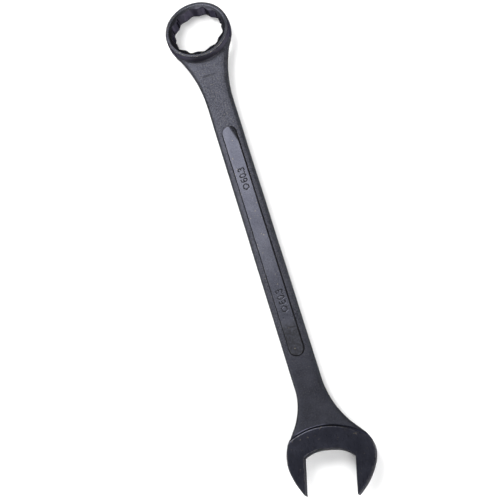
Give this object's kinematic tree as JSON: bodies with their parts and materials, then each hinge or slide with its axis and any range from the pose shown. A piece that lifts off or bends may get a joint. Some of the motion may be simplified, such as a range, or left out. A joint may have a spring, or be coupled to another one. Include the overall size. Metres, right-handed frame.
{
  "type": "combination wrench",
  "caption": "Large black-oxide combination wrench: cranked 12-point box end, raised-panel shank and angled open end for the same across-flats size.",
  "frame": {"origin": "centre of the twelve-point socket at the middle of the ring", "axes": "+X along the shank from the box end to the open end, +Z out of the marked face, +Y completes the right-handed frame"},
  "size_m": [0.6632, 0.1054, 0.035],
  "materials": {
    "forged_steel": "black oxide over a fine shot-blasted forging skin",
    "ground_steel": "black oxide over a ground or machined face, slightly blue",
    "panel_steel": "black oxide over a belt-ground face, semi-gloss"
  },
  "bodies": {
    "root": {"box_ring": "ground_steel", "box_neck": "forged_steel", "shank": "forged_steel", "raised_panel_front": "panel_steel", "raised_panel_rear": "panel_steel", "open_neck": "forged_steel", "open_head": "ground_steel", "upper_jaw": "ground_steel", "lower_jaw": "ground_steel"}
  },
  "joints": []
}
